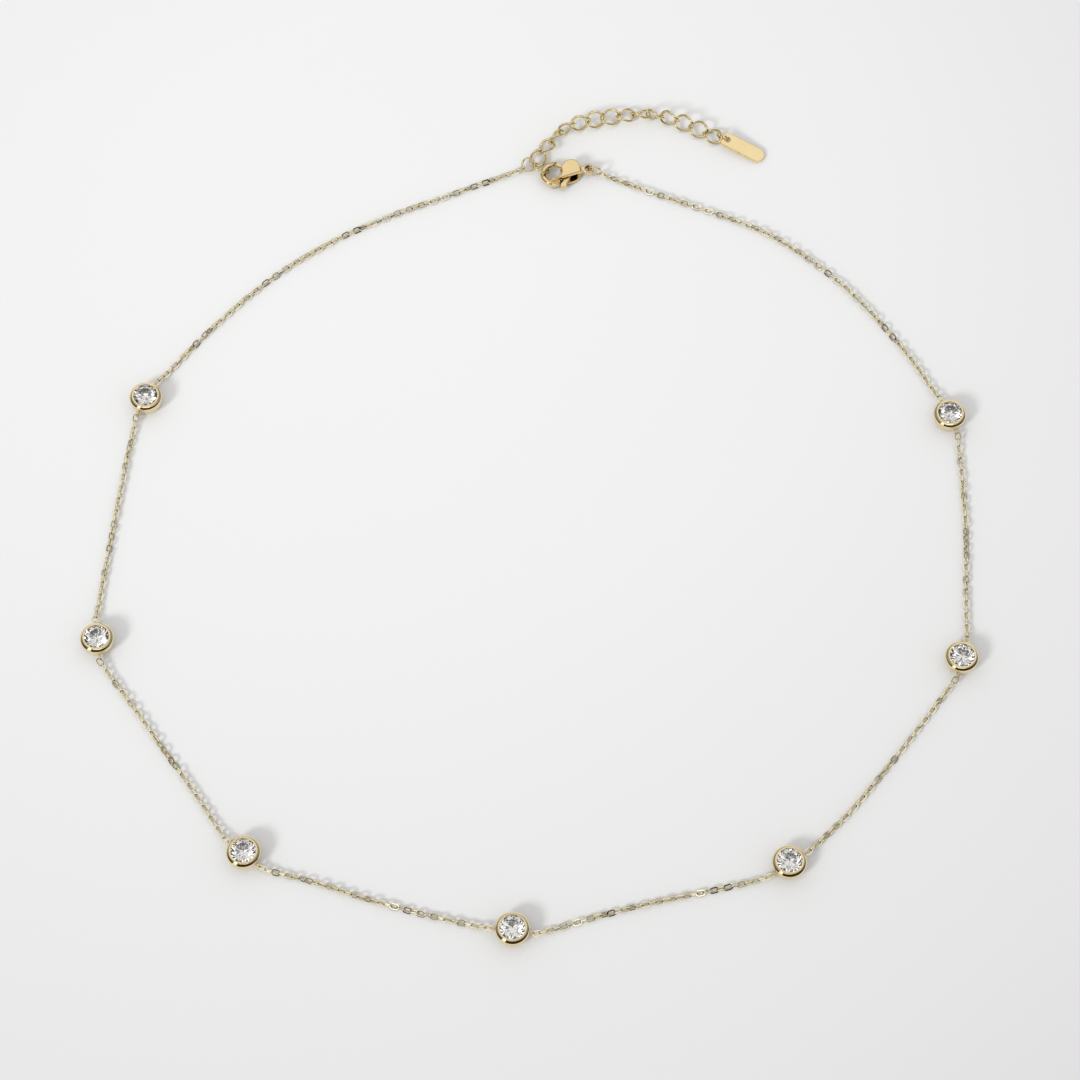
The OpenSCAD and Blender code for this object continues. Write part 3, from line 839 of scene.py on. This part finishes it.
def clasp_eye_field(x, y, z):
    neck = np.maximum(
        np.abs(x - NECK_X) - NECK_HALF[0], np.abs(y - CLASP_EYE_AT[1]) - NECK_HALF[1]
    )
    flat = blend_min(disc(x, y, CLASP_EYE_AT, CLASP_EYE_R), neck, NECK_BLEND)
    eye = slab(flat, z, *POCKET_Z, CLASP_EYE_ROUND)
    return blend_max(eye, -disc(x, y, CLASP_EYE_AT, CLASP_EYE_HOLE_R), CLASP_EYE_HOLE_BLEND)


def clasp_body_field(x, y, z):
    opening = disc(x, y, HOOK_AT, HOOK_R - HOOK_BAR / 2)
    base_flat = blend_max(drop(x, y, *BASE_HEAD, *BASE_TAIL), -opening, OPENING_BLEND)
    base = slab(base_flat, z, 0, BASE_TOP, BASE_ROUND)
    base = blend_max(base, -np.maximum(pocket_outline(x, y), POCKET_Z[0] - z), POCKET_BLEND)
    plate_flat = blend_max(plate_outline(x, y), -opening, OPENING_BLEND)
    plate = slab(plate_flat, z, POCKET_Z[1], CLASP_T, PLATE_ROUND)
    pin = slab(
        disc(x, y, PIN_AT, PIN_R), z, POCKET_Z[0] - PIN_SINK, POCKET_Z[1] + PIN_SINK, PIN_ROUND
    )
    body = blend_min(blend_min(base, plate, PLATE_BLEND), hook_field(x, y, z), HOOK_BLEND)
    return np.minimum(blend_min(body, clasp_eye_field(x, y, z), SOLDER_BLEND), pin)


def clasp_lever_field(x, y, z):
    gate = np.abs(disc(x, y, HOOK_AT, 0) - HOOK_R) - GATE_HALF
    gate = np.maximum(gate, -past_ray(x, y, HOOK_AT, GATE_ARC[0]))
    gate = np.maximum(gate, past_ray(x, y, HOOK_AT, GATE_ARC[1]))
    gate = np.maximum(gate, past_ray(x, y, TIP_CUT_AT, TIP_CUT_ANGLE) + GATE_GAP)
    aim, across = direction(TRIGGER_ANGLE), direction(TRIGGER_ANGLE + 90)
    root = np.array(PIN_AT)
    tip = root + TRIGGER_REACH * aim
    trigger = polygon(x, y, [
        root + TRIGGER_ROOT_HALF * across, tip + TRIGGER_TIP_HALF * across,
        tip - TRIGGER_TIP_HALF * across, root - TRIGGER_ROOT_HALF * across,
    ])
    trigger = blend_min(trigger, disc(x, y, tip, TAB_R), TAB_BLEND)
    hub = disc(x, y, PIN_AT, HUB_R)
    flat = blend_min(blend_min(hub, gate, LEVER_BLEND), trigger, LEVER_BLEND)
    lever = slab(flat, z, POCKET_Z[0] + LEVER_GAP, POCKET_Z[1] - LEVER_GAP, LEVER_ROUND)
    return blend_max(lever, -disc(x, y, PIN_AT, BORE_R), BORE_BLEND)


def clasp_piece(name, node, field, low, high, body):
    points, faces = surface_net(field, low, high)
    shape = Shape()
    shape.add(points @ spin(CLASP_TURN, 2).T + np.array(CLASP_AT), faces)
    shape.piece(name, CLASP_GOLD, node, body=body, sharp=55)


clasp_piece(
    "clasp_frame", "clasp_body", clasp_body_field, (-5.1, -2.8, -0.1), (4.1, 2.3, 2.4), NECKLACE
)
clasp_piece(
    "clasp_trigger", "clasp_lever", clasp_lever_field, (-2.9, -3.6, 0.5), (1.0, 2.0, 1.7), LEVER
)


# Tag: a flat plate with a round far end, a hole at its near end and rounded edges

TAG_L = 7.3
TAG_W = 2.5
TAG_T = 0.5
TAG_HOLE_R = 0.45
TAG_HOLE_EDGE = 0.85
TAG_HOLE_AT = (31.35, 64.1, 0.95)
TAG_TURN = -26.6
TAG_TIP_Z = 0.05
TAG_CORNER_R = 0.5
TAG_ROUND = 0.07
TAG_HOLE_BLEND = 0.06


def tag_field(x, y, z):
    far = TAG_L - TAG_HOLE_EDGE - TAG_W / 2
    near = -TAG_HOLE_EDGE
    half = TAG_W / 2
    block = np.hypot(
        np.maximum(np.abs(x - (near + far) / 2) - (far - near) / 2 + TAG_CORNER_R, 0),
        np.maximum(np.abs(y) - half + TAG_CORNER_R, 0),
    ) - TAG_CORNER_R
    round_end = np.hypot(np.maximum(x - far, 0), y) - half
    flat = np.where(x < far - TAG_CORNER_R, block, np.maximum(round_end, -x))
    plate = slab(flat, z, 0, TAG_T, TAG_ROUND)
    return blend_max(plate, TAG_HOLE_R - np.hypot(x, y), TAG_HOLE_BLEND)


def tag():
    points, faces = surface_net(tag_field, (-1.0, -1.4, -0.1), (6.6, 1.4, 0.6))
    fall = math.degrees(math.asin((TAG_HOLE_AT[2] - TAG_TIP_Z) / (TAG_L - TAG_HOLE_EDGE)))
    m = spin(TAG_TURN, 2) @ spin(fall, 1)
    shape = Shape()
    shape.add(points @ m.T + np.array(TAG_HOLE_AT), faces)
    shape.piece("plain_tag", TAG_GOLD, "tag", sharp=55)


tag()


# Stones: the frame's own cut solids

for i in range(len(STATIONS)):
    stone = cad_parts[f"stone_{i + 1}"]
    stone.data.materials.clear()
    stone.data.materials.append(CLEAR_STONE)


# Floor, room, light and camera. Angles are in degrees, and azimuths go from +x towards +y.

# Floor in metres, with painted light falloff: its greys by the share of the fade's length from its
# palest spot, in mm
FLOOR_SIZE = 6.0
PAINTED_FALLOFF_LENGTH = 0.2
PAINTED_FALLOFF_GREYS = [(0.15, 0.86), (0.4, 0.832), (0.8, 0.745), (0.95, 0.695)]
PAINTED_LIGHT_SPOT = (-25, 60, 0)

# Key light, in metres and watts
KEY_AZIMUTH = 226
KEY_ELEVATION = 34
KEY_DISTANCE = 2.4
KEY_SIZE = 0.6
KEY_POWER = 25.5

# Light of the room on matt surfaces, and behind everything
PLAIN_TONE = 0.80

# Room that polished pieces mirror. An edge in elevation runs from its low to its high side, and a
# cone's edge from where it ends to where it is full.
# Dark low band: its mean height, how much higher it is on the viewer's side, and its soft edge
LOW_BAND_TONE = (0.036, 0.024, 0.008)
BAND_TOP = 14.0
BAND_FRONT = 27.0
BAND_EDGE = 2.5
# Wall that brightens to the ceiling, and a darker patch overhead
WALL_TONE = 0.32
WALL_TOP = 28
CEILING_TONE = 0.92
CEILING_FROM = 54
TOP_TONE = 0.22
TOP_EDGE = (70, 79)
# Softbox, dark patch of the viewer, bright gap below the key light, and the key's own glint
SOFTBOX_TONE = 1.6
SOFTBOX_AT = (270, 51)
SOFTBOX_EDGE = (24, 13)
VIEWER_TONE = 0.12
VIEWER_AT = (270, 76)
VIEWER_EDGE = (13, 9)
GAP_TONE = 1.1
GAP_EDGE = (12, 7)
GLINT_TONE = 3.0
GLINT_EDGE = (8, 3)
# Least level part of a direction, which keeps it off zero straight up and down
LEAST_LEVEL = 0.001

# Camera, in millimetres
VIEW_AZIMUTH = 270
VIEW_ELEVATION = 64
VIEW_CENTRE = (1.4, -6.45, 0.0)
VIEW_DISTANCE = 476.1
VIEW_WIDTH = 162.54
SENSOR = 36.0


def toward(azimuth, elevation):
    """Unit direction of an azimuth and an elevation."""
    flat = direction(azimuth) * math.cos(math.radians(elevation))
    return Vector((flat[0], flat[1], math.sin(math.radians(elevation))))


def cosines(edges):
    return [math.cos(math.radians(a)) for a in edges]


def math_node(tree, operation, a, b=None):
    node = tree.nodes.new("ShaderNodeMath")
    node.operation = operation
    for k, value in enumerate(v for v in (a, b) if v is not None):
        if isinstance(value, (int, float)):
            node.inputs[k].default_value = value
        else:
            tree.links.new(value, node.inputs[k])
    return node.outputs[0]


def step_between(tree, value, low, high):
    """Smooth step of a value from 0 at low to 1 at high."""
    node = tree.nodes.new("ShaderNodeMapRange")
    node.interpolation_type = "SMOOTHSTEP"
    for name, number in (("From Min", low), ("From Max", high), ("To Min", 0), ("To Max", 1)):
        node.inputs[name].default_value = number
    tree.links.new(value, node.inputs["Value"])
    return node.outputs["Result"]


def in_cone(tree, ray, at, edge):
    """0 outside a cone round a direction, and 1 within its inner edge."""
    aim = tree.nodes.new("ShaderNodeVectorMath")
    aim.operation = "DOT_PRODUCT"
    aim.inputs[1].default_value = toward(*at)
    tree.links.new(ray, aim.inputs[0])
    return step_between(tree, aim.outputs["Value"], *cosines(edge))


def floor():
    """Pale matt floor with painted light falloff: it darkens slowly away from one spot."""
    mesh = bpy.data.meshes.new("floor")
    s = FLOOR_SIZE / 2
    mesh.from_pydata([(-s, -s, 0), (s, -s, 0), (s, s, 0), (-s, s, 0)], [], [(0, 1, 2, 3)])
    obj = bpy.data.objects.new("floor", mesh)
    bpy.context.scene.collection.objects.link(obj)
    material, tree, shader, place = new_material("floor_painted_falloff")
    # painted light falloff: the grey darkens with distance from the pale spot, standing in for the
    # light's falloff
    away = tree.nodes.new("ShaderNodeVectorMath")
    away.operation = "DISTANCE"
    away.inputs[1].default_value = Vector(PAINTED_LIGHT_SPOT) * MM
    tree.links.new(place, away.inputs[0])
    fade = math_node(tree, "DIVIDE", away.outputs["Value"], PAINTED_FALLOFF_LENGTH)
    greys = [(at, (grey, grey, grey)) for at, grey in PAINTED_FALLOFF_GREYS]
    tree.links.new(ramp(tree, fade, greys), shader.inputs["Base Color"])
    shader.inputs["Roughness"].default_value = 1.0
    shader.inputs["Specular IOR Level"].default_value = 0.0
    mesh.materials.append(material)


def mirrored_room(tree):
    """Colour that a mirrored ray finds in the room, by its direction."""
    def calc(operation, a, b=None):
        return math_node(tree, operation, a, b)

    ray = tree.nodes.new("ShaderNodeTexCoord").outputs["Generated"]
    split = tree.nodes.new("ShaderNodeSeparateXYZ")
    tree.links.new(ray, split.inputs[0])
    x, y, z = split.outputs
    elevation = calc("MULTIPLY", calc("ARCSINE", z), 180 / math.pi)
    level = calc("SQRT", calc("ADD", calc("MULTIPLY", x, x), calc("MULTIPLY", y, y)))
    level = calc("MAXIMUM", level, LEAST_LEVEL)

    overhead = step_between(tree, elevation, WALL_TOP, CEILING_FROM)
    room = calc("ADD", WALL_TONE, calc("MULTIPLY", overhead, CEILING_TONE - WALL_TONE))
    top = step_between(tree, elevation, *TOP_EDGE)
    room = calc("SUBTRACT", room, calc("MULTIPLY", top, CEILING_TONE - TOP_TONE))
    in_box = in_cone(tree, ray, SOFTBOX_AT, SOFTBOX_EDGE)
    room = calc("ADD", room, calc("MULTIPLY", in_box, SOFTBOX_TONE - CEILING_TONE))
    in_viewer = in_cone(tree, ray, VIEWER_AT, VIEWER_EDGE)
    seen = calc("SUBTRACT", 1.0, calc("MULTIPLY", in_viewer, 1 - VIEWER_TONE))
    room = calc("MULTIPLY", room, seen)

    front = calc("DIVIDE", calc("MULTIPLY", y, -1.0), level)
    band_top = calc("ADD", BAND_TOP, calc("MULTIPLY", front, BAND_FRONT))
    above = step_between(tree, calc("SUBTRACT", elevation, band_top), -BAND_EDGE, BAND_EDGE)
    gap_x, gap_y = map(float, direction(KEY_AZIMUTH))
    toward_gap = calc("ADD", calc("MULTIPLY", x, gap_x), calc("MULTIPLY", y, gap_y))
    in_gap = step_between(tree, calc("DIVIDE", toward_gap, level), *cosines(GAP_EDGE))
    in_glint = in_cone(tree, ray, (KEY_AZIMUTH, KEY_ELEVATION), GLINT_EDGE)
    sky = calc("MAXIMUM", calc("MULTIPLY", above, room), calc("MULTIPLY", in_gap, GAP_TONE))
    sky = calc("MAXIMUM", sky, calc("MULTIPLY", in_glint, GLINT_TONE))
    toned = tree.nodes.new("ShaderNodeCombineColor")
    for channel, tone in zip(toned.inputs, LOW_BAND_TONE):
        tree.links.new(calc("MAXIMUM", sky, tone), channel)
    return toned.outputs["Color"]


def surroundings():
    """World that is plain to the camera and to matt surfaces, and a room to polished pieces."""
    world = bpy.data.worlds.new("soft_room")
    bpy.context.scene.world = world
    world.use_nodes = True
    tree = world.node_tree
    background = tree.nodes["Background"]
    path = tree.nodes.new("ShaderNodeLightPath")
    plain = math_node(
        tree, "MAXIMUM", path.outputs["Is Camera Ray"], path.outputs["Is Diffuse Ray"]
    )
    pick = tree.nodes.new("ShaderNodeMix")
    pick.data_type = "RGBA"
    tree.links.new(plain, pick.inputs[0])
    tree.links.new(mirrored_room(tree), pick.inputs[6])
    pick.inputs[7].default_value = (PLAIN_TONE, PLAIN_TONE, PLAIN_TONE, 1)
    tree.links.new(pick.outputs[2], background.inputs["Color"])
    background.inputs["Strength"].default_value = 1.0


def key_light():
    """Soft key light, which mirrors see as the room's glint instead."""
    light = bpy.data.lights.new("key", "AREA")
    light.shape = "DISK"
    light.size = KEY_SIZE
    light.energy = KEY_POWER
    obj = bpy.data.objects.new("key", light)
    aim = toward(KEY_AZIMUTH, KEY_ELEVATION)
    obj.location = aim * KEY_DISTANCE
    obj.rotation_mode = "QUATERNION"
    obj.rotation_quaternion = aim.to_track_quat("Z", "Y")
    obj.visible_camera = False
    obj.visible_glossy = False
    bpy.context.scene.collection.objects.link(obj)


def camera():
    data = bpy.data.cameras.new("camera")
    data.sensor_width = SENSOR
    data.lens = SENSOR * VIEW_DISTANCE / VIEW_WIDTH
    data.clip_start = 0.01
    data.clip_end = 50
    obj = bpy.data.objects.new("camera", data)
    back = toward(VIEW_AZIMUTH, VIEW_ELEVATION)
    obj.location = (Vector(VIEW_CENTRE) + back * VIEW_DISTANCE) * MM
    obj.rotation_mode = "QUATERNION"
    obj.rotation_quaternion = (-back).to_track_quat("-Z", "Y")
    bpy.context.scene.collection.objects.link(obj)
    bpy.context.scene.camera = obj


floor()
surroundings()
key_light()
camera()
bpy.context.scene.view_settings.view_transform = "Standard"
bpy.context.scene.view_settings.look = "None"
